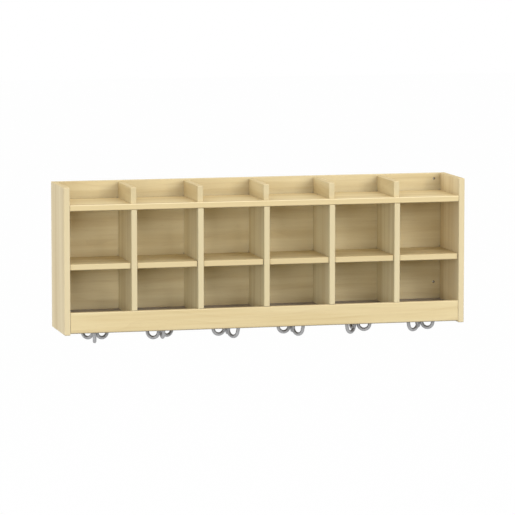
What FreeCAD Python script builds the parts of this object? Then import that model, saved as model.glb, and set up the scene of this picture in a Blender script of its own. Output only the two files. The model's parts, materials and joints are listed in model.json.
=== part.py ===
import FreeCAD, Part

import math
import os

# Overall case, in millimetres
width = 1219.0
height = 434.5
depth = 203.0
section_count = 6

# Boards and the easing of their edges
board = 17.5
back_board = 11.5
arris = 2.5
back_arris = 1.5

# Levels above the end panels' lower edges
rail_rise = 4.8
rail_height = 61.4
rail_lip = 16.0
middle_shelf_level = 208.0
tray_depth = 52.3

# How far the tray dividers end below the end panels' tops
tray_divider_drop = 4.8

# Set-backs from the end panels' front edges
top_shelf_setback = 1.0
rail_setback = 1.0
cubby_divider_setback = 2.0
middle_shelf_setback = 8.0
tray_divider_setback = 10.0
hook_setback = 101.0

# Joinery: stopped housings, the back's rabbet and the rail's dowels
housing = 5.0
housing_stop = 12.0
rabbet = 9.0
dowel_radius = 4.0
dowel_in_face = 10.0
dowel_in_edge = 20.0
dowel_glue = 0.15
dowel_slack = 0.5
rail_dowel_shares = (0.27, 0.73)

# Holes for the wall screws, countersunk at the front
wall_hole_radius = 2.1
wall_sink_radius = 3.6
wall_sink_depth = 2.0
wall_hole_inset = 20.0
wall_hole_drop = 17.0
wall_hole_spacing = 317.0

# Countersunk wood screws
screw_head_radius = 3.8
screw_head_height = 2.2
screw_shank_radius = 1.8
screw_clearance = 0.15
screw_sink = 0.2
back_screw_length = 38.0
hook_screw_length = 13.0

# Hook base: a flanged cup with a collar turning inside it
flange_width = 9.5
flange_thickness = 2.8
flange_easing = 1.0
cup_wall = 2.4
cup_draft = 1.8
cup_floor = 2.5
cup_easing = 1.5
cup_headroom = 4.0
collar_radius = 8.0
collar_thickness = 3.6
collar_room = 1.5
collar_fit = 0.05

# Triple hook: a stem, a hub and forged prongs, the first with a lower bend than the others
prong_count = 3
stem_radius = 4.5
stem_head_radius = 5.8
stem_head_height = 1.0
swivel_clearance = 0.08
swivel_gap = 0.3
hub_height = 7.0
hub_rim = 1.8
hub_easing = 1.2
hook_length = 62.2
wire_radius = 5.3
leg_radius = 7.4
bend_radius = 17.5
tip_length = 16.0
long_prong_drop = 6.0
tip_radius = 6.0
flare_degrees = 12.0

# The way each hook's first prong points, in degrees from straight ahead towards the right
hook_turns_degrees = (-12.0, -122.0, 39.0, 38.0, -53.0, -66.0)

# Cuts run past faces by this much, and places closer than the tolerance are the same
overrun = 1.0
tolerance = 0.001

# Levels, with the origin in the middle of the wall screw holes, on the wall
case_top = wall_hole_spacing / 2 + wall_hole_drop
case_bottom = case_top - height
rail_bottom = case_bottom + rail_rise
rail_top = rail_bottom + rail_height
bottom_panel_top = rail_top - rail_lip
bottom_panel_under = bottom_panel_top - board
middle_shelf_top = case_bottom + middle_shelf_level
top_shelf_top = case_top - tray_depth
top_shelf_under = top_shelf_top - board
tray_divider_top = case_top - tray_divider_drop

# Planes from the front to the wall, which is at zero
front = -depth
back_front = -back_board
rail_front = front + rail_setback
rail_back = rail_front + board
cubby_divider_front = front + cubby_divider_setback
hook_y = front + hook_setback

# Uprights and sections from left to right
inner_half = width / 2 - board
pitch = (width - board) / section_count
wall_hole_x = inner_half - wall_hole_inset

# The hook base and the hook, worked inwards from the collar
cavity_radius = collar_radius + collar_room
cup_tip_radius = cavity_radius + cup_wall
cup_top_radius = cup_tip_radius + cup_draft
flange_radius = cup_top_radius + flange_width
base_bore_radius = stem_radius + swivel_clearance
stem_top = bottom_panel_under - cup_headroom
collar_top = stem_top - stem_head_height
collar_under = collar_top - collar_thickness
cup_floor_top = collar_under - swivel_gap
cup_tip = cup_floor_top - cup_floor
hub_top = cup_tip - swivel_gap
hub_under = hub_top - hub_height
hub_radius = leg_radius + wire_radius + hub_rim
hook_low = bottom_panel_under - hook_length
base_screw_radius = cup_top_radius + flange_width / 2

x_way = FreeCAD.Vector(1, 0, 0)
y_way = FreeCAD.Vector(0, 1, 0)
z_way = FreeCAD.Vector(0, 0, 1)


def upright_x(number):
    """The middle of an upright, counting the left end panel as 0."""
    return -width / 2 + board / 2 + pitch * number


def section_x(number):
    """The middle of a section, counting from 1 at the left."""
    return upright_x(number) - pitch / 2


def section_sides(number):
    """The inner faces of the uprights on both sides of a section."""
    return upright_x(number - 1) + board / 2, upright_x(number) - board / 2


def sections():
    return range(1, section_count + 1)


def dividers():
    return range(1, section_count)


def box(x, y, z):
    """A block between two values along each axis, given in any order."""
    low = FreeCAD.Vector(min(x), min(y), min(z))
    return Part.makeBox(max(x) - low.x, max(y) - low.y, max(z) - low.z, low)


def lies_on(edge, axis, place):
    """Whether both ends of an edge are on a plane."""
    return all(abs(getattr(end.Point, axis) - place) < tolerance for end in edge.Vertexes)


def runs_along(edge, way):
    """Whether an edge is straight and parallel to a direction."""
    ends = [end.Point for end in edge.Vertexes]
    return len(ends) == 2 and (ends[1] - ends[0]).cross(way).Length < tolerance


def ease(shape, radius, chosen):
    """Round the edges that a test picks."""
    return shape.makeFillet(radius, [edge for edge in shape.Edges if chosen(edge)])


def ease_ring(shape, radius, place, ring_radius):
    """Round the circular edge of one radius at one level."""

    def chosen(edge):
        ring = edge.Curve
        return (
            isinstance(ring, Part.Circle)
            and abs(ring.Center.z - place) < tolerance
            and abs(ring.Radius - ring_radius) < tolerance
        )

    return ease(shape, radius, chosen)


def cut_all(shape, tools):
    return shape.cut(list(tools))


def dowel(point, way, glue=0.0, slack=0.0):
    """A dowel across a joint's face, or its hole where there is glue and slack."""
    start = point - way * (dowel_in_face + slack)
    length = dowel_in_face + dowel_in_edge + slack * 2
    return Part.makeCylinder(dowel_radius + glue, length, start, way)


def dowel_hole(point, way):
    return dowel(point, way, dowel_glue, dowel_slack)


def screw(point, way, length, clearance=0.0):
    """A countersunk screw sunk into a face, or its hole where there is clearance."""
    start = point + way * (screw_sink - clearance)
    cone_end = point + way * (screw_sink + screw_head_height)
    head = Part.makeCone(
        screw_head_radius + clearance,
        screw_shank_radius + clearance,
        screw_head_height + clearance,
        start,
        way,
    )
    shank = Part.makeCylinder(
        screw_shank_radius + clearance,
        length - screw_head_height + clearance,
        cone_end,
        way,
    )
    return head.fuse(shank).removeSplitter()


def screw_hole(point, way, length):
    """The hole of a screw, open where its head sinks below the face."""
    mouth = Part.makeCylinder(
        screw_head_radius + screw_clearance,
        screw_sink + overrun,
        point - way * overrun,
        way,
    )
    return screw(point, way, length, screw_clearance).fuse(mouth)


def shelf_tongue(sides, setback, top):
    """The part of a shelf that is let into the uprights' grooves."""
    return box(
        (sides[0] - housing, sides[1] + housing),
        (front + setback + housing_stop, back_front),
        (top - board, top),
    )


def shelf(sides, setback, top):
    """A shelf with its front eased all round and a stopped tongue at both ends."""
    start = front + setback
    blank = box(sides, (start, back_front), (top - board, top))
    blank = ease(blank, arris, lambda edge: lies_on(edge, "y", start))
    return blank.fuse(shelf_tongue(sides, setback, top)).removeSplitter()


def case_sides():
    return -inner_half, inner_half


def top_shelf_tongue():
    return shelf_tongue(case_sides(), top_shelf_setback, top_shelf_top)


def middle_shelf_tongue(number):
    return shelf_tongue(section_sides(number), middle_shelf_setback, middle_shelf_top)


def bottom_panel_blank():
    """The bottom panel with its ends let into the end panels."""
    return box(
        (-inner_half - housing, inner_half + housing),
        (rail_back, back_front),
        (bottom_panel_under, bottom_panel_top),
    )


def back_panel_blank():
    """The back panel as it fills the end panels' rabbets."""
    half = inner_half + rabbet
    return box((-half, half), (back_front, 0), (case_bottom, case_top))


def upright_slice(number, y, z):
    """A block as thick as an upright, where that upright stands."""
    middle = upright_x(number)
    return box((middle - board / 2, middle + board / 2), y, z)


def tray_divider_tongue(number):
    start = front + tray_divider_setback + housing_stop
    return upright_slice(number, (start, back_front), (top_shelf_top - housing, top_shelf_top))


def cubby_divider_top_tongue(number):
    start = cubby_divider_front + housing_stop
    return upright_slice(number, (start, back_front), (top_shelf_under, top_shelf_under + housing))


def cubby_divider_foot(number):
    span = (bottom_panel_top - housing, bottom_panel_top)
    return upright_slice(number, (rail_back, back_front), span)


def rail_end_dowel_places(side):
    """The dowels between the rail's end and an end panel, with the way into the rail."""
    for share in rail_dowel_shares:
        point = FreeCAD.Vector(
            side * inner_half,
            rail_front + board / 2,
            rail_bottom + rail_height * share,
        )
        yield point, x_way * -side


def rail_panel_dowel_places():
    """The dowels between the rail's back face and the bottom panel's front edge."""
    for number in sections():
        point = FreeCAD.Vector(section_x(number), rail_back, bottom_panel_top - board / 2)
        yield point, y_way


def rail_dowel_places():
    for side in (-1, 1):
        yield from rail_end_dowel_places(side)
    yield from rail_panel_dowel_places()


def back_screw_places():
    """The screws through the back into the top shelf and the bottom panel."""
    for top in (top_shelf_top, bottom_panel_top):
        for number in sections():
            yield FreeCAD.Vector(section_x(number), 0, top - board / 2), y_way * -1


def hook_screw_places():
    """The two screws of each hook base, left and right of its cup."""
    for number in sections():
        for side in (-1, 1):
            x = section_x(number) + side * base_screw_radius
            yield FreeCAD.Vector(x, hook_y, bottom_panel_under - flange_thickness), z_way


def back_screw_holes():
    return [screw_hole(point, way, back_screw_length) for point, way in back_screw_places()]


def hook_screw_holes():
    return [screw_hole(point, way, hook_screw_length) for point, way in hook_screw_places()]


def end_panel(side):
    """An end of the case, eased on all but its wall edges and grooved on its inner face."""
    panel = box((side * inner_half, side * width / 2), (front, 0), (case_bottom, case_top))
    panel = ease(panel, arris, lambda edge: not lies_on(edge, "y", 0))
    section = 1 if side < 0 else section_count
    joints = [back_panel_blank(), top_shelf_tongue(), middle_shelf_tongue(section), bottom_panel_blank()]
    joints += [dowel_hole(point, way) for point, way in rail_end_dowel_places(side)]
    return cut_all(panel, joints)


def back_panel():
    """The back, its wall screw holes countersunk from the front and its own from behind."""
    panel = back_panel_blank()

    def front_top(edge):
        return lies_on(edge, "z", case_top) and lies_on(edge, "y", back_front)

    panel = ease(panel, back_arris, front_top)
    holes = back_screw_holes()
    for x in (-wall_hole_x, wall_hole_x):
        for z in (-wall_hole_spacing / 2, wall_hole_spacing / 2):
            start = FreeCAD.Vector(x, back_front - overrun, z)
            holes.append(Part.makeCylinder(wall_hole_radius, back_board + overrun * 2, start, y_way))
            mouth = FreeCAD.Vector(x, back_front, z)
            holes.append(Part.makeCone(wall_sink_radius, wall_hole_radius, wall_sink_depth, mouth, y_way))
    return cut_all(panel, holes)


def top_shelf():
    """The long shelf, grooved above for the tray dividers and below for the cubby dividers."""
    joints = back_screw_holes()
    for number in dividers():
        joints.append(tray_divider_tongue(number))
        joints.append(cubby_divider_top_tongue(number))
    return cut_all(shelf(case_sides(), top_shelf_setback, top_shelf_top), joints)


def tray_divider(number):
    """A low divider standing in the top shelf's groove."""
    start = front + tray_divider_setback
    divider = upright_slice(number, (start, back_front), (top_shelf_top, tray_divider_top))

    def exposed(edge):
        along_top = lies_on(edge, "z", tray_divider_top) and runs_along(edge, y_way)
        at_front = lies_on(edge, "y", start) and not lies_on(edge, "z", top_shelf_top)
        return along_top or at_front

    return ease(divider, arris, exposed).fuse(tray_divider_tongue(number)).removeSplitter()


def cubby_divider(number):
    """A divider standing on the bottom panel and, at the front, on the rail."""
    start = cubby_divider_front
    divider = upright_slice(number, (start, back_front), (rail_top, top_shelf_under))
    divider = ease(divider, arris, lambda edge: lies_on(edge, "y", start))
    lower = upright_slice(number, (rail_back, back_front), (bottom_panel_top, rail_top))
    divider = divider.fuse([lower, cubby_divider_foot(number), cubby_divider_top_tongue(number)])
    tongues = [middle_shelf_tongue(number), middle_shelf_tongue(number + 1)]
    return cut_all(divider.removeSplitter(), tongues)


def middle_shelf(number):
    return shelf(section_sides(number), middle_shelf_setback, middle_shelf_top)


def bottom_panel():
    """The panel that carries the hooks, grooved above for the cubby dividers."""
    joints = back_screw_holes() + hook_screw_holes()
    joints += [cubby_divider_foot(number) for number in dividers()]
    joints += [dowel_hole(point, way) for point, way in rail_panel_dowel_places()]
    return cut_all(bottom_panel_blank(), joints)


def front_rail():
    """The rail in front of the bottom panel, its eased top standing up as a lip."""
    rail = box(case_sides(), (rail_front, rail_back), (rail_bottom, rail_top))
    rail = ease(rail, arris, lambda edge: runs_along(edge, x_way) or lies_on(edge, "y", rail_front))
    return cut_all(rail, [dowel_hole(point, way) for point, way in rail_dowel_places()])


def hook_base(number):
    """A flanged cup against the bottom panel, bored for the hook's stem."""
    middle = FreeCAD.Vector(section_x(number), hook_y, 0)
    cup_height = bottom_panel_under - cup_tip
    flange_under = bottom_panel_under - flange_thickness
    flange = Part.makeCylinder(flange_radius, flange_thickness, middle + z_way * flange_under)
    cup = Part.makeCone(cup_tip_radius, cup_top_radius, cup_height, middle + z_way * cup_tip)
    base = flange.fuse(cup).removeSplitter()
    base = ease_ring(base, flange_easing, flange_under, flange_radius)
    base = ease_ring(base, cup_easing, cup_tip, cup_tip_radius)
    cavity_height = bottom_panel_under - cup_floor_top + overrun
    cavity = Part.makeCylinder(cavity_radius, cavity_height, middle + z_way * cup_floor_top)
    bore = Part.makeCylinder(base_bore_radius, cup_height, middle + z_way * (cup_tip - overrun))
    own_holes = hook_screw_holes()[(number - 1) * 2:number * 2]
    return cut_all(base, [cavity, bore] + own_holes)


def hook_collar(number):
    """The collar that carries a hook on its base's floor."""
    start = FreeCAD.Vector(section_x(number), hook_y, collar_under)
    ring = Part.makeCylinder(collar_radius, collar_thickness, start)
    return ring.cut(Part.makeCylinder(stem_radius + collar_fit, collar_thickness, start))


def prong(drop):
    """One prong pointing straight ahead: down, round its bend and out to a ball tip."""
    flare = math.radians(flare_degrees)
    bend_y = -leg_radius - bend_radius
    bend_z = hook_low + wire_radius + bend_radius - drop
    root = FreeCAD.Vector(0, -leg_radius, hub_under + hub_height / 2)
    bend_start = FreeCAD.Vector(0, -leg_radius, bend_z)
    bend_low = FreeCAD.Vector(0, bend_y, bend_z - bend_radius)
    bend_end = FreeCAD.Vector(
        0,
        bend_y - bend_radius * math.cos(flare),
        bend_z - bend_radius * math.sin(flare),
    )
    outward = FreeCAD.Vector(0, -math.sin(flare), math.cos(flare))
    tip = bend_end + outward * (tip_length + drop)
    path = Part.Wire([
        Part.LineSegment(root, bend_start).toShape(),
        Part.Arc(bend_start, bend_low, bend_end).toShape(),
        Part.LineSegment(bend_end, tip).toShape(),
    ])
    outline = Part.Wire([Part.Circle(root, z_way, wire_radius).toShape()])
    return path.makePipeShell([outline], True, False).fuse(Part.makeSphere(tip_radius, tip))


def triple_hook(number):
    """A hook in one piece: peened stem, hub and prongs, turned its own way."""
    origin = FreeCAD.Vector(0, 0, 0)
    hub = Part.makeCylinder(hub_radius, hub_height, z_way * hub_under)
    hub = ease_ring(hub, hub_easing, hub_under, hub_radius)
    hub = ease_ring(hub, hub_easing, hub_top, hub_radius)
    stem = Part.makeCylinder(stem_radius, collar_top - hub_top, z_way * hub_top)
    stem_head = Part.makeCylinder(stem_head_radius, stem_head_height, z_way * collar_top)
    pieces = [stem, stem_head]
    for count in range(prong_count):
        turned = prong(long_prong_drop if count == 0 else 0)
        turned.rotate(origin, z_way, count * 360 / prong_count)
        pieces.append(turned)
    hook = hub.fuse(pieces).removeSplitter()
    hook.rotate(origin, z_way, hook_turns_degrees[(number - 1) % len(hook_turns_degrees)])
    hook.translate(FreeCAD.Vector(section_x(number), hook_y, 0))
    return hook


def group(solids):
    return Part.makeCompound(list(solids))


def assembly():
    """Every node's name with its solid."""
    pieces = {
        "left_end_panel": end_panel(-1),
        "right_end_panel": end_panel(1),
        "back_panel": back_panel(),
        "top_shelf": top_shelf(),
        "bottom_panel": bottom_panel(),
        "front_rail": front_rail(),
    }
    for number in dividers():
        pieces[f"tray_divider_{number}"] = tray_divider(number)
        pieces[f"cubby_divider_{number}"] = cubby_divider(number)
    for number in sections():
        pieces[f"middle_shelf_{number}"] = middle_shelf(number)
        pieces[f"hook_base_{number}"] = hook_base(number)
        pieces[f"hook_collar_{number}"] = hook_collar(number)
        pieces[f"triple_hook_{number}"] = triple_hook(number)
    pieces["rail_dowels"] = group(dowel(point, way) for point, way in rail_dowel_places())
    pieces["back_screws"] = group(
        screw(point, way, back_screw_length) for point, way in back_screw_places()
    )
    pieces["hook_screws"] = group(
        screw(point, way, hook_screw_length) for point, way in hook_screw_places()
    )
    return pieces


os.makedirs("parts", exist_ok=True)
for name, shape in assembly().items():
    shape.exportStep(f"parts/{name}.step")
    print(name, len(shape.Solids), shape.isValid(), round(shape.Volume))
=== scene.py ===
# %% [markdown]
# # A wall-hung coat locker in pale maple
#
# The object is a long, low case that hangs on a wall: an open tray on top, two rows of open cubbies
# below it and a swivelling triple hook under each section. Every board and every hook is already a
# solid of its real size, so this lesson adds what solids lack: finishes, screw drives, light and a
# camera.

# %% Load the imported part
import json
import math

import bmesh
import bpy
from mathutils import Matrix, Vector


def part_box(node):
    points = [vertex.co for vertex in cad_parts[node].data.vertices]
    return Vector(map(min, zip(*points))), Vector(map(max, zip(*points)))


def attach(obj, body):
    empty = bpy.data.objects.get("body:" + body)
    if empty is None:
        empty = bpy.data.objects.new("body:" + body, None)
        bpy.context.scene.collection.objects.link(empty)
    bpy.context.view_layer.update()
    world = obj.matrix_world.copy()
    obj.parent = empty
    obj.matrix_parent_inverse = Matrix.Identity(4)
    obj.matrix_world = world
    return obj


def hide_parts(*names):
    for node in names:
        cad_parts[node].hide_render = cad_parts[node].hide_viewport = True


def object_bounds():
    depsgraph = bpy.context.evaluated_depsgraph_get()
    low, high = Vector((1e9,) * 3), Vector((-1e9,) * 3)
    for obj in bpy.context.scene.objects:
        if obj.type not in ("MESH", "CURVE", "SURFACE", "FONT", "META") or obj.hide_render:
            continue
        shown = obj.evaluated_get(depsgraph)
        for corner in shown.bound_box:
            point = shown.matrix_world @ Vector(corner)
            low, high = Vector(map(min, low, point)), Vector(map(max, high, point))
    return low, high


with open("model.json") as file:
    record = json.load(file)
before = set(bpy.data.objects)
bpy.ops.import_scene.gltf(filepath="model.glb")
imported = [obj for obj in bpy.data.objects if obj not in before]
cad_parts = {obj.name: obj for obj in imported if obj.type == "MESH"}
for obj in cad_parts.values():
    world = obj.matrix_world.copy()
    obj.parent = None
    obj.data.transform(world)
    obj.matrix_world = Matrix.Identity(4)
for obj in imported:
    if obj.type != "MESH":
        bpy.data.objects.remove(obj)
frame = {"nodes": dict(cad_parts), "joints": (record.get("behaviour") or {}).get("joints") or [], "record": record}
solid_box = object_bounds()
nodes = frame["nodes"]

# %% [markdown]
# ## Node trees as sums
#
# A finish is a tree of nodes, and most of its nodes do plain arithmetic. They could be added and
# linked one by one, but that hides the idea, so a small class wraps a socket and lets Python's
# operators add the Math nodes. Every other node comes from one method: its type, its settings, then
# its sockets.

# %% A wire that takes part in sums
class Wire:
    """A socket of a finish's tree that takes part in sums."""

    def __init__(self, finish, socket):
        self.finish = finish
        self.socket = socket

    def math(self, operation, *others, last=False):
        """Add a Math node with this wire as its first value, or as its last."""
        terms = [*others, self] if last else [self, *others]
        return self.finish.node("ShaderNodeMath", {"operation": operation}, dict(enumerate(terms)))

    def __add__(self, other):
        return self.math("ADD", other)

    def __radd__(self, other):
        return self.math("ADD", other, last=True)

    def __sub__(self, other):
        return self.math("SUBTRACT", other)

    def __rsub__(self, other):
        return self.math("SUBTRACT", other, last=True)

    def __mul__(self, other):
        return self.math("MULTIPLY", other)

    def __rmul__(self, other):
        return self.math("MULTIPLY", other, last=True)

    def __pow__(self, other):
        return self.math("POWER", other)

    def __rpow__(self, other):
        return self.math("POWER", other, last=True)

    def step(self, low, high):
        """0 below low, 1 above high and smooth between them."""
        settings = {"interpolation_type": "SMOOTHSTEP"}
        sockets = {"Value": self, "From Min": low, "From Max": high}
        return self.finish.node("ShaderNodeMapRange", settings, sockets)


# %% A finish made of wires
HIDING_SAMPLES = 8


class Finish:
    """A material, or the world, written as sums of wires."""

    def __init__(self, owner):
        self.owner = owner
        owner.use_nodes = True
        self.tree = owner.node_tree
        self.tree.nodes.clear()

    def node(self, kind, settings=None, sockets=None, output=0):
        """Add a node: its settings first, then the values or links of its sockets."""
        node = self.tree.nodes.new(kind)
        for name, value in (settings or {}).items():
            setattr(node, name, value)
        for place, value in (sockets or {}).items():
            socket = node.inputs[place]
            if isinstance(value, Wire):
                self.tree.links.new(value.socket, socket)
            else:
                socket.default_value = value
        return Wire(self, node.outputs[output]) if node.outputs else None

    def blend(self, share, first, second):
        """One colour turning into another; a Mix node keeps its colours in sockets 6 and 7."""
        sockets = {0: share, 6: first, 7: second}
        return self.node("ShaderNodeMix", {"data_type": "RGBA"}, sockets, output=2)

    def noise(self, place, detail=2.0, roughness=0.5):
        """Soft noise, with about one swell to each unit of the place."""
        sockets = {"Vector": place, "Scale": 1.0, "Detail": detail, "Roughness": roughness}
        return self.node("ShaderNodeTexNoise", None, sockets)

    def bump(self, height, strength, depth):
        """The direction of a surface that rises and falls with a height."""
        sockets = {"Height": height, "Strength": strength, "Distance": depth}
        return self.node("ShaderNodeBump", None, sockets)

    def place(self):
        """A point of the object in metres."""
        return self.node("ShaderNodeTexCoord", output="Object")

    def part(self, vector, axis):
        """One coordinate of a vector."""
        return self.node("ShaderNodeSeparateXYZ", None, {"Vector": vector}, output=axis)

    def stretch(self, vector, factors):
        """A vector with its coordinates scaled."""
        return self.node("ShaderNodeVectorMath", {"operation": "MULTIPLY"}, {0: vector, 1: factors})

    def shift(self, vector, other):
        """A vector moved by another."""
        return self.node("ShaderNodeVectorMath", {"operation": "ADD"}, {0: vector, 1: other})

    def hidden(self, reach, looking=None):
        """How much of its surroundings other boards hide from a point, within a reach."""
        sockets = {"Distance": reach}
        if looking:
            sockets["Normal"] = self.node("ShaderNodeCombineXYZ", None, dict(enumerate(looking)))
        return 1 - self.node("ShaderNodeAmbientOcclusion", {"samples": HIDING_SAMPLES}, sockets, "AO")

    def seen(self):
        """1 where the camera looks, straight, in metal or through glass, and 0 for plain light."""
        kinds = ["Is Camera Ray", "Is Glossy Ray", "Is Transmission Ray"]
        straight, mirrored, through = [self.node("ShaderNodeLightPath", output=kind) for kind in kinds]
        return straight.math("MAXIMUM", mirrored).math("MAXIMUM", through)

    def close(self, sockets):
        """End the tree in one principled shader."""
        shader = self.node("ShaderNodeBsdfPrincipled", None, sockets)
        self.node("ShaderNodeOutputMaterial", None, {"Surface": shader})
        return self.owner


# %% Dress whole nodes
def dress(node_names, material):
    """Give whole nodes one finish."""
    for name in node_names:
        mesh = nodes[name].data
        mesh.materials.clear()
        mesh.materials.append(material)
    print(material.name, "on", len(node_names), "nodes")


# %% [markdown]
# ## Maple boards
#
# The boards are pale maple under a clear satin lacquer, and grain is what makes wood look like wood.
# A flat texture could show it, but would break at every edge, so the pattern is a solid one, stretched
# along each board's length: long soft streaks, growth lines that wander across the face, fine fibres
# and short dark flecks. Maple is quiet, so each of them is faint. The front edges carry paler bands,
# the upper arrises a painted highlight, and the lower arrises and the uprights' tops painted shade; the
# way that a surface faces tells them apart. In corners and along joints painted shade darkens the
# colour, as far as the other boards hide a point.

# %% The maple's colours
PALE_MAPLE = (0.78, 0.655, 0.395)
WARM_MAPLE = (0.67, 0.530, 0.285)
GROWTH_LINE = (0.56, 0.420, 0.215)
FLECK = (0.45, 0.315, 0.150)
EDGE_BAND = PALE_MAPLE
# painted shade: the upward faces of upright boards are darkened
SHADED_TOP = (0.715, 0.555, 0.275)
# painted highlight on the upper front arrises
ARRIS_HIGHLIGHT = (0.96, 0.83, 0.54)
# the tone of painted shade in corners, joints, lower arrises, the tray and the holes
PAINTED_SHADE = (0.21, 0.165, 0.115)
PLAIN = (1.0, 1.0, 1.0)


def toned(colour, tint=PLAIN):
    """A colour with its red, green and blue scaled, as a socket takes it."""
    return tuple(value * share for value, share in zip(colour, tint)) + (1.0,)


print("pale maple:", toned(PALE_MAPLE))

# %% Marks of the grain
# For each noise: swells per metre along the grain and across it, octaves and how they fade
STREAK_NOISE = (1.2, 34.0, 4.0, 0.55)
FIBRE_NOISE = (9.0, 900.0, 3.0, 0.6)
DRIFT_NOISE = (0.9, 5.0, 2.0, 0.5)
FLECK_NOISE = (38.0, 1100.0, 1.0, 0.5)
RINGS_PER_METRE = 46.0
RING_SLANT = 0.8
RING_DRIFT = 14.0
RING_SHARPNESS = 4.0
GROWTH_EDGES = (0.35, 0.7)
FLECK_EDGES = (0.66, 0.74)


def grain_marks(finish, place, along):
    """Streaks, fibres, growth lines and flecks at a place in a board."""
    def stretched(lengthwise, crosswise, detail, roughness):
        factors = [lengthwise if axis == along else crosswise for axis in "XYZ"]
        return finish.noise(finish.stretch(place, factors), detail, roughness)

    across, through = [finish.part(place, axis) for axis in "XYZ" if axis != along]
    streak = stretched(*STREAK_NOISE)
    fibre = stretched(*FIBRE_NOISE)
    ring = (across + through * RING_SLANT) * RINGS_PER_METRE + stretched(*DRIFT_NOISE) * RING_DRIFT
    growth = ring.math("FRACT") ** RING_SHARPNESS * streak.step(*GROWTH_EDGES)
    fleck = stretched(*FLECK_NOISE).step(*FLECK_EDGES)
    return streak, fibre, growth, fleck


# %% Colour of the bare wood
STREAK_EDGES = (0.30, 0.74)
FIBRE_EDGES = (0.45, 0.75)
GROWTH_SHARE = 0.34
FIBRE_SHARE = 0.14
FLECK_SHARE = 0.22


def wood_colour(finish, tint, streak, fibre, growth, fleck):
    """Pale and warm streaks, with the finer marks laid over them."""
    line = toned(GROWTH_LINE, tint)
    colour = finish.blend(streak.step(*STREAK_EDGES), toned(PALE_MAPLE, tint), toned(WARM_MAPLE, tint))
    colour = finish.blend(growth * GROWTH_SHARE, colour, line)
    colour = finish.blend(fibre.step(*FIBRE_EDGES) * FIBRE_SHARE, colour, line)
    return finish.blend(fleck * FLECK_SHARE, colour, toned(FLECK, tint))


# %% Edges and arrises
# How far a face has turned: squarely to the front or up, or on the round of an arris
SQUARE_ON = (0.45, 0.85)
ROUND_SLOPE = (0.15, 0.5)
ROUND_FRONT = (0.1, 0.4)
BAND_SHARE = 0.6
# How much painted shade a board's lower front arris gets, and how much painted highlight its upper one
ARRISES = (0.25, 0.3)
TOP_SHELF_ARRISES = (0.25, 0.8)
MIDDLE_SHELF_ARRISES = (0.25, 0.0)
RAIL_ARRISES = (0.9, 0.4)


def edge_tones(finish, colour, has_shaded_top, band_tint, arrises):
    """Front bands plus painted shade and highlights on tops and arrises, told apart by facing."""
    normal = finish.node("ShaderNodeNewGeometry", output="Normal")
    front = finish.part(normal, "Y") * -1
    upward = finish.part(normal, "Z")
    if band_tint:
        colour = finish.blend(front.step(*SQUARE_ON) * BAND_SHARE, colour, toned(EDGE_BAND, band_tint))
    # painted shade on the upward faces
    if has_shaded_top:
        colour = finish.blend(upward.step(*SQUARE_ON), colour, toned(SHADED_TOP))
    lower_shade, upper_highlight = arrises
    forward = front.step(*ROUND_FRONT)
    lower = (upward * -1).step(*ROUND_SLOPE) * forward
    upper = upward.step(*ROUND_SLOPE) * forward
    # painted shade on the lower front arrises, which face down
    colour = finish.blend(lower * lower_shade, colour, toned(PAINTED_SHADE))
    # painted highlight on the upper front arrises
    return finish.blend(upper * upper_highlight, colour, toned(ARRIS_HIGHLIGHT))


# %% Corners and joints
# painted shade in corners and along joints, as far as other boards hide a point
CORNER_REACH = 0.03
CORNER_SHARE = 0.14
JOINT_REACH = 0.007
JOINT_EDGES = (0.4, 0.85)
JOINT_SHARE = 0.8


def corner_shade(finish, colour):
    """Painted shade: wide corners a little darker, and the joints in them much darker."""
    dark = toned(PAINTED_SHADE)
    colour = finish.blend(finish.hidden(CORNER_REACH) * CORNER_SHARE, colour, dark)
    return finish.blend(finish.hidden(JOINT_REACH).step(*JOINT_EDGES) * JOINT_SHARE, colour, dark)


# %% The boards' grid
left_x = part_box("left_end_panel")[0].x
right_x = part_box("right_end_panel")[1].x
board_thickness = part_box("left_end_panel")[1].x - left_x
section_count = len(frame["joints"])
pitch = (right_x - left_x - board_thickness) / section_count
first_shelf = left_x + board_thickness / 2
first_upright = first_shelf - pitch / 2
print(f"pitch {pitch:.5f} m, board {board_thickness:.5f} m")

# %% The maple finish
LACQUER_ROUGHNESS = 0.44
FIBRE_ROUGHNESS = 0.14
LACQUER_GLOSS = 0.1
GRAIN_BUMP = 0.12
GRAIN_DEPTH = 0.0004
FIBRE_HEIGHT = 0.6
FLECK_PIT = 0.8


def own_grain(finish, place, first_board):
    """A place moved by a draw for each board of a row, so that no two boards look alike."""
    number = ((finish.part(place, "X") - first_board) * (1 / pitch)).math("FLOOR")
    draw = finish.node("ShaderNodeTexWhiteNoise", {"noise_dimensions": "1D"}, {"W": number}, "Color")
    return finish.shift(place, draw)


def maple(name, along, first_board=None, tint=PLAIN, band_tint=None, shade=None, arrises=ARRISES):
    """Maple with its grain along one axis; a band_tint gives it a band on its front edge."""
    finish = Finish(bpy.data.materials.new(name))
    place = finish.place()
    if first_board is not None:
        place = own_grain(finish, place, first_board)
    streak, fibre, growth, fleck = grain_marks(finish, place, along)
    colour = wood_colour(finish, tint, streak, fibre, growth, fleck)
    colour = edge_tones(finish, colour, along != "X", band_tint, arrises)
    if shade:
        mask, tone = shade(finish)
        colour = finish.blend(mask, colour, toned(tone))
    height = fibre * FIBRE_HEIGHT - fleck * FLECK_PIT
    return finish.close({
        "Base Color": corner_shade(finish, colour),
        "Roughness": LACQUER_ROUGHNESS + fibre * FIBRE_ROUGHNESS,
        "Specular IOR Level": LACQUER_GLOSS,
        "Normal": finish.bump(height, GRAIN_BUMP, GRAIN_DEPTH),
    })
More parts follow.
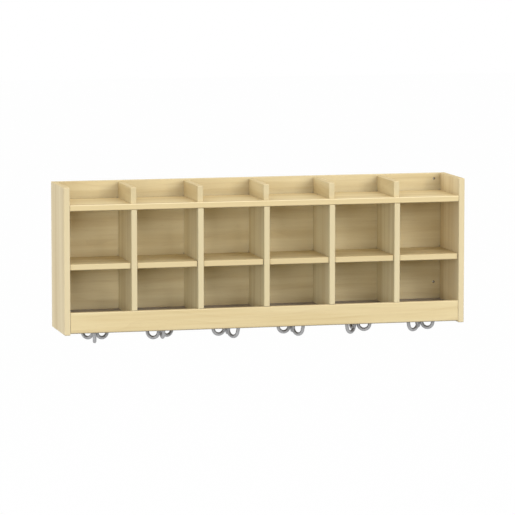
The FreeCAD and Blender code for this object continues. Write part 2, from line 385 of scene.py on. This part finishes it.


# %% [markdown]
# ## Painted shade in corners, on the rail and in the holes
#
# Some shade is painted into the colour, following a place on the case and not the grain: a painted
# shadow in the tray's right-hand corners, painted shade at the deep end of the lowest cubbies and
# along the rail's lower edge, and the wall holes' dark mouths, also painted shade. They could be
# painted by hand, but a mask worked out from the boards' own places needs no picture and stays in
# place from every side.

# %% Where the marks lie
# painted shade at the deep end of the lowest cubbies
FLOOR_SHADE_TONE = (0.33, 0.30, 0.32)
FLOOR_SHADE_REACH = 0.0735
FLOOR_SHADE_FULL_REACH = 0.0385
FLOOR_SHADE_SHARE = 0.85
# painted shadow in the tray's corners
TRAY_REACH = 0.06
TRAY_EDGES = (0.35, 0.7)
TRAY_SHARE = 0.28
# the hiding leans to the right, so the painted shadow darkens right-hand corners only
TO_THE_RIGHT = (0.7, -0.7, 0.0)
# painted shade along the rail's lower edge
RAIL_SHADE_HEIGHT = 0.008
RAIL_SHADE_SHARE = 0.25
# painted shade in the mouths of the wall holes
HOLE_EDGES = (0.0036, 0.00432)
HOLE_SHARE = 0.8
MILLIMETRE = 0.001

tray_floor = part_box("top_shelf")[1].z
back_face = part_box("back_panel")[0].y
back_middle = sum(corner.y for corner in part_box("back_panel")) / 2
panel_middle = sum(corner.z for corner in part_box("bottom_panel")) / 2
rail_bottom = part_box("front_rail")[0].z
wall_screws = next(mount for mount in frame["record"]["mounts"] if mount["name"] == "wall_screws")
hole_x = wall_screws["dims"]["spacing_x_mm"] / 2 * MILLIMETRE
hole_z = wall_screws["dims"]["spacing_y_mm"] / 2 * MILLIMETRE
print(f"tray floor {tray_floor:.4f} m, wall holes at {hole_x:.4f} and {hole_z:.4f} m")


# %% Masks for the marks
def back_shade(finish):
    """Painted shadow in the tray's right-hand corners and painted shade in the wall holes' mouths."""
    place = finish.place()
    side, depth, level = [finish.part(place, axis) for axis in "XYZ"]
    in_tray = level.math("GREATER_THAN", tray_floor) * depth.math("LESS_THAN", back_middle)
    # painted shadow in the tray's right-hand corners
    corner_shadow = finish.hidden(TRAY_REACH, TO_THE_RIGHT).step(*TRAY_EDGES) * TRAY_SHARE
    # painted shade in the wall holes' mouths
    beside = side.math("ABSOLUTE") - hole_x
    above = level.math("ABSOLUTE") - hole_z
    away = (beside * beside + above * above).math("SQRT")
    hole = (1 - away.step(*HOLE_EDGES)) * HOLE_SHARE
    return (in_tray * corner_shadow).math("MAXIMUM", hole), PAINTED_SHADE


def floor_shade(finish):
    """Painted shade at the deep end of the lowest cubbies, behind the rail's lip."""
    place = finish.place()
    on_top = finish.part(place, "Z").math("GREATER_THAN", panel_middle)
    deep = finish.part(place, "Y").step(back_face - FLOOR_SHADE_REACH, back_face - FLOOR_SHADE_FULL_REACH)
    return on_top * deep * FLOOR_SHADE_SHARE, FLOOR_SHADE_TONE


def rail_shade(finish):
    """Painted shade along the rail's lower edge."""
    level = finish.part(finish.place(), "Z")
    unshaded = level.step(rail_bottom, rail_bottom + RAIL_SHADE_HEIGHT)
    return (1 - unshaded) * RAIL_SHADE_SHARE, PAINTED_SHADE


# %% [markdown]
# ## The boards and their tints
#
# Each kind of board has its own tint of the maple, as the boards of a case come from different planks.
# The darker tints of the tray dividers and the bottom panel are painted shade, and the bluer, greener
# tints of the back and the cubby dividers offset the warm light that bounces inside the cubbies. One
# material for all would be less to write, but the case would then look moulded in one piece. Boards
# that repeat share a material, and a draw for each board moves its grain.

# %% Dress the boards
# the tray dividers' and bottom panel's darker tints are painted shade; the back's and cubby dividers' bluer tints
# offset the warm light bounced inside the cubbies
END_TINT = (1.02, 1.04, 1.12)
DIVIDER_TINT = (0.99, 1.06, 1.18)
# painted shade on the tray dividers
TRAY_SHADE_TINT = (0.90, 0.905, 0.90)
TRAY_SHELF_TINT = (1.04, 1.01, 0.94)
SHELF_BAND_TINT = (1.0, 0.97, 0.90)
# painted shade on the bottom panel
BOTTOM_SHADE_TINT = (0.82, 0.81, 0.82)
BACK_TINT = (1.05, 1.10, 1.19)
RAIL_TINT = (1.09, 1.09, 1.07)

section_numbers = range(1, section_count + 1)
cubby_dividers = [f"cubby_divider_{n}" for n in range(1, section_count)]
tray_dividers = [f"tray_divider_{n}" for n in range(1, section_count)]
middle_shelves = [f"middle_shelf_{n}" for n in section_numbers]
middle_maple = maple(
    "maple_middle_shelf", "X", first_shelf, PLAIN, SHELF_BAND_TINT, arrises=MIDDLE_SHELF_ARRISES
)
top_maple = maple(
    "maple_long_shelf", "X", None, TRAY_SHELF_TINT, SHELF_BAND_TINT, arrises=TOP_SHELF_ARRISES
)
dress(["left_end_panel", "right_end_panel"], maple("maple_end", "Z", first_upright, END_TINT, PLAIN))
dress(cubby_dividers, maple("maple_cubby_divider", "Z", first_upright, DIVIDER_TINT, PLAIN))
dress(tray_dividers, maple("maple_tray_divider", "Y", first_upright, TRAY_SHADE_TINT, PLAIN))
dress(middle_shelves, middle_maple)
dress(["top_shelf"], top_maple)
dress(["bottom_panel"], maple("maple_bottom_panel", "X", None, BOTTOM_SHADE_TINT, None, floor_shade))
dress(["back_panel"], maple("maple_back", "X", None, BACK_TINT, None, back_shade))
dress(["front_rail"], maple("maple_rail", "X", None, RAIL_TINT, None, rail_shade, RAIL_ARRISES))
dress(["rail_dowels"], maple("beech_dowel", "X"))

# %% [markdown]
# ## Hook steel
#
# The hooks are bent from round steel and zinc plated, so they are grey, dull and a little blotchy.
# One grey with one roughness would look like plastic. A metal shows its surroundings, so what makes
# it read is a roughness that varies in clouds and scuffs.

# %% Plated steel
ZINC = (0.465, 0.465, 0.47, 1.0)
ZINC_DULL = (0.385, 0.385, 0.39, 1.0)
BRIGHT_ZINC = (0.66, 0.66, 0.66, 1.0)
CLOUDS_PER_METRE = (120.0, 120.0, 120.0)
CLOUD_DETAIL = 4.0
CLOUD_FADE = 0.6
CLOUD_EDGES = (0.35, 0.65)
CLOUD_ROUGHNESS = 0.16
SCUFFS_PER_METRE = (900.0, 900.0, 300.0)
SCUFF_ROUGHNESS = 0.08
SCUFF_BUMP = 0.1
SCUFF_DEPTH = 0.0003
HOOK_ROUGHNESS = 0.55
SCREW_ROUGHNESS = 0.22


def plated_steel(name, light, dull, roughness):
    """Zinc-plated steel, in clouds of a light and a dull tone."""
    finish = Finish(bpy.data.materials.new(name))
    place = finish.place()
    cloud = finish.noise(finish.stretch(place, CLOUDS_PER_METRE), CLOUD_DETAIL, CLOUD_FADE)
    scuff = finish.noise(finish.stretch(place, SCUFFS_PER_METRE))
    return finish.close({
        "Base Color": finish.blend(cloud.step(*CLOUD_EDGES), dull, light),
        "Metallic": 1.0,
        "Roughness": roughness + cloud * CLOUD_ROUGHNESS + scuff * SCUFF_ROUGHNESS,
        "Normal": finish.bump(scuff, SCUFF_BUMP, SCUFF_DEPTH),
    })


hook_steel = plated_steel("zinc_plated_hook", ZINC, ZINC_DULL, HOOK_ROUGHNESS)
screw_zinc = plated_steel("bright_zinc_screw", BRIGHT_ZINC, ZINC, SCREW_ROUGHNESS)
for piece_of_hook in ("triple_hook", "hook_base", "hook_collar"):
    dress([f"{piece_of_hook}_{n}" for n in section_numbers], hook_steel)

# %% [markdown]
# ## Screws with drives and threads
#
# The solids of the screws are plain: a cone and a shank. A real wood screw has a cross recess in its
# head and a thread, rolled so that the core is thinner than the ridge. A bump could fake both, but it
# leaves the outline smooth, so one screw is lathed with its ridge winding down, a tapered cross is
# cut into its head, and copies go where the solids are.

# %% Find the plain screws
WELD_DISTANCE = 1e-6
SORT_DIGITS = 4


def islands(mesh):
    """The boxes of a mesh's separate pieces."""
    work = bmesh.new()
    work.from_mesh(mesh)
    bmesh.ops.remove_doubles(work, verts=work.verts, dist=WELD_DISTANCE)
    left = set(work.verts)
    boxes = []
    while left:
        reached = [left.pop()]
        for vertex in reached:
            for edge in vertex.link_edges:
                other = edge.other_vert(vertex)
                if other in left:
                    left.remove(other)
                    reached.append(other)
        points = [vertex.co.copy() for vertex in reached]
        low = Vector([min(point[axis] for point in points) for axis in range(3)])
        high = Vector([max(point[axis] for point in points) for axis in range(3)])
        boxes.append((low, high))
    work.free()
    return sorted(boxes, key=lambda pair: tuple(round(value, SORT_DIGITS) for value in pair[0]))


# %% Lathe a threaded screw
SCREW_AROUND = 20
THREAD_PITCH = 0.0019
RINGS_PER_PITCH = 5
CORE_SHARE = 0.7
TAPER_LENGTH = 0.006


def screw_radius(depth, turn, head_radius, shank_radius, head_height, length):
    """The screw's radius at a depth below its head's face and a turn round it."""
    if depth <= head_height:
        return head_radius + (shank_radius - head_radius) * depth / head_height
    ridge = abs((depth / THREAD_PITCH - turn) % 1.0 - 0.5) * 2
    thread = shank_radius * (CORE_SHARE + (1 - CORE_SHARE) * max(0.0, ridge * 2 - 1))
    return thread * min(1.0, (length - depth) / TAPER_LENGTH)


def lathe_screw(head_radius, shank_radius, head_height, length):
    """A screw with its head's face at the origin, going down."""
    work = bmesh.new()
    ring_step = THREAD_PITCH / RINGS_PER_PITCH
    depths = [0.0, head_height]
    while depths[-1] + ring_step < length - ring_step:
        depths.append(depths[-1] + ring_step)
    rings = []
    for depth in depths:
        ring = []
        for index in range(SCREW_AROUND):
            turn = index / SCREW_AROUND
            radius = screw_radius(depth, turn, head_radius, shank_radius, head_height, length)
            angle = math.tau * turn
            ring.append(work.verts.new((radius * math.cos(angle), radius * math.sin(angle), -depth)))
        rings.append(ring)
    for upper, lower in zip(rings, rings[1:]):
        for index in range(SCREW_AROUND):
            after = (index + 1) % SCREW_AROUND
            work.faces.new((upper[index], lower[index], lower[after], upper[after]))
    work.faces.new(rings[0])
    tip = work.verts.new((0.0, 0.0, -length))
    for index in range(SCREW_AROUND):
        work.faces.new((rings[-1][(index + 1) % SCREW_AROUND], rings[-1][index], tip))
    bmesh.ops.recalc_face_normals(work, faces=work.faces)
    return work


# %% Cut the recess
RECESS_DEPTH = 0.0014
RECESS_ARM = 0.0021
RECESS_HALF_WIDTH = 0.00042
RECESS_FOOT_SHARE = 0.35
RECESS_TAPER_SHARE = 0.7
RECESS_STAND_SHARE = 0.4


def recess_cutter():
    """A tapered cross that stands through the head's face."""
    work = bmesh.new()
    for turn in (0.0, math.pi / 2):
        arm = bmesh.ops.create_cube(work, size=2.0)["verts"]
        for vertex in arm:
            above = vertex.co.z > 0
            reach = RECESS_ARM if above else RECESS_ARM * RECESS_FOOT_SHARE
            width = RECESS_HALF_WIDTH if above else RECESS_HALF_WIDTH * RECESS_TAPER_SHARE
            level = RECESS_DEPTH * RECESS_STAND_SHARE if above else -RECESS_DEPTH
            vertex.co = (vertex.co.x * reach, vertex.co.y * width, level)
        bmesh.ops.rotate(work, verts=arm, cent=(0, 0, 0), matrix=Matrix.Rotation(turn, 3, "Z"))
    return work


def as_object(work, name):
    """An object in the scene from a mesh in the making."""
    mesh = bpy.data.meshes.new(name)
    work.to_mesh(mesh)
    work.free()
    made = bpy.data.objects.new(name, mesh)
    bpy.context.scene.collection.objects.link(made)
    return made


def driven_screw(head_radius, shank_radius, head_height, length):
    """The mesh of a lathed screw with the recess cut into its head."""
    blank = as_object(lathe_screw(head_radius, shank_radius, head_height, length), "screw_blank")
    cutter = as_object(recess_cutter(), "screw_cutter")
    cut = blank.modifiers.new("recess", "BOOLEAN")
    cut.object = cutter
    cut.operation = "DIFFERENCE"
    cut.solver = "EXACT"
    cut.use_self = True
    graph = bpy.context.evaluated_depsgraph_get()
    mesh = bpy.data.meshes.new_from_object(blank.evaluated_get(graph))
    for spare in (blank, cutter):
        bpy.data.objects.remove(spare)
    return mesh


# %% Screws where the solids are
SCREW_HEAD = 0.0038
SCREW_SHANK = 0.0018
SCREW_HEAD_HEIGHT = 0.0022
TURN_BETWEEN_SCREWS = 2.4


def screw_set(name, node, head_axis, head_sign):
    """Copies of one detailed screw in place of a node of plain ones."""
    boxes = islands(nodes[node].data)
    axis = "XYZ".index(head_axis)
    length = boxes[0][1][axis] - boxes[0][0][axis]
    single = driven_screw(SCREW_HEAD, SCREW_SHANK, SCREW_HEAD_HEIGHT, length)
    facing = Vector([head_sign if index == axis else 0.0 for index in range(3)])
    turn = Vector((0, 0, 1)).rotation_difference(facing).to_matrix().to_4x4()
    work = bmesh.new()
    for number, (low, high) in enumerate(boxes):
        head = (low + high) / 2
        head[axis] = high[axis] if head_sign > 0 else low[axis]
        spin = Matrix.Rotation(number * TURN_BETWEEN_SCREWS, 4, "Z")
        copy = single.copy()
        copy.transform(Matrix.Translation(head) @ turn @ spin)
        work.from_mesh(copy)
        bpy.data.meshes.remove(copy)
    bpy.data.meshes.remove(single)
    piece = as_object(work, name)
    piece.data.materials.append(screw_zinc)
    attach(piece, "case")
    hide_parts(node)
    print(name, len(boxes), "screws,", len(piece.data.polygons), "faces")


screw_set("hook_screw_set", "hook_screws", "Z", -1)
screw_set("back_screw_set", "back_screws", "Y", 1)

# %% [markdown]
# ## Floor
#
# The locker hangs at its usual height above a pale floor. A floor white enough to look blank would
# throw too much light up at the boards, so it is white only where it is looked at, and duller for the
# light that it sends back.

# %% Lay the floor
FLOOR_DROP = 1.2
FLOOR_SIZE = 60.0
FLOOR_LIT = (0.2, 0.2, 0.2, 1.0)
WHITE = (1.0, 1.0, 1.0, 1.0)
GLOW_SHARE = 0.95
low, high = solid_box
middle = (Vector(low) + Vector(high)) / 2

bpy.ops.mesh.primitive_plane_add(size=FLOOR_SIZE, location=(middle.x, middle.y, low[2] - FLOOR_DROP))
floor = bpy.context.object
floor.name = "floor"
floor_finish = Finish(bpy.data.materials.new("pale_floor"))
looked_at = floor_finish.seen()
floor_colour = floor_finish.blend(looked_at, FLOOR_LIT, WHITE)
matte = floor_finish.node("ShaderNodeBsdfDiffuse", None, {"Color": floor_colour})
glow = floor_finish.node("ShaderNodeEmission", None, {"Color": WHITE, "Strength": 1.0})
mixed = floor_finish.node("ShaderNodeMixShader", None, {0: looked_at * GLOW_SHARE, 1: matte, 2: glow})
floor_finish.node("ShaderNodeOutputMaterial", None, {"Surface": mixed})
floor.data.materials.append(floor_finish.owner)
print(f"floor at a height of {floor.location.z:.3f} m")

# %% [markdown]
# ## Light
#
# The world is a white room, lighter above than below, which the camera and the metal see as plain
# white. One even light would flatten the cubbies, so wide lamps give the boards a light side and a
# shaded side: two from the front left and right that reach into the cubbies, a small one near the
# right end, and a large one far out on the left for the end panel.

# %% The white room
ROOM_LIGHT = 0.30
CEILING_LIGHT = 0.83
world = bpy.data.worlds.new("white_room")
bpy.context.scene.world = world
room = Finish(world)
looked_into = room.seen()
upward = room.part(room.node("ShaderNodeTexCoord", output="Generated"), "Z").math("MAXIMUM", 0.0)
strength = looked_into + (1 - looked_into) * (ROOM_LIGHT + upward * CEILING_LIGHT)
surround = room.node("ShaderNodeBackground", None, {"Color": WHITE, "Strength": strength})
room.node("ShaderNodeOutputWorld", None, {"Surface": surround})
print("room light", ROOM_LIGHT, "to", ROOM_LIGHT + CEILING_LIGHT)

# %% Lamps
# Name, azimuth and elevation in degrees, distance and size in metres, power in watts
LAMPS = [
    ("left_softbox", -36.0, 4.0, 3.5, 1.5, 38.0),
    ("right_softbox", 22.0, 18.0, 5.0, 2.0, 69.0),
    ("near_right_softbox", 45.0, 12.0, 2.2, 1.2, 7.2),
    ("side_softbox", -108.0, 5.0, 6.0, 3.0, 92.0),
]


def direction(azimuth, elevation):
    """The way to a place round the object, with 0, 0 straight in front of it."""
    around, above = math.radians(azimuth), math.radians(elevation)
    return Vector((
        math.sin(around) * math.cos(above),
        -math.cos(around) * math.cos(above),
        math.sin(above),
    ))


for name, azimuth, elevation, distance, size, power in LAMPS:
    lamp = bpy.data.lights.new(name, "AREA")
    lamp.energy = power
    lamp.size = size
    holder = bpy.data.objects.new(name, lamp)
    away = direction(azimuth, elevation)
    holder.location = middle + away * distance
    holder.rotation_euler = (-away).to_track_quat("-Z", "Y").to_euler()
    bpy.context.scene.collection.objects.link(holder)
    print(name, "at", [round(value, 2) for value in holder.location])

# %% [markdown]
# ## Camera
#
# The picture shows a little of the left side and of the tray, and its level lines hardly converge, so
# the camera stands far off to the left, a little above the case, with a long lens. An orthographic
# camera comes close, but then the far end would look as tall as the near one.

# %% Set the camera
AZIMUTH = -14.0
ELEVATION = 6.74
DISTANCE = 10.048
LENS = 235.33
SENSOR_WIDTH = 36.0
AIM = Vector((-0.0044, -0.1016, -0.0572))

camera_data = bpy.data.cameras.new("camera")
camera_data.lens = LENS
camera_data.sensor_width = SENSOR_WIDTH
camera = bpy.data.objects.new("camera", camera_data)
toward = direction(AZIMUTH, ELEVATION)
camera.location = AIM + toward * DISTANCE
camera.rotation_euler = (-toward).to_track_quat("-Z", "Y").to_euler()
bpy.context.scene.collection.objects.link(camera)
bpy.context.scene.camera = camera
bpy.context.scene.view_settings.view_transform = "Standard"
print("camera at", [round(value, 3) for value in camera.location])
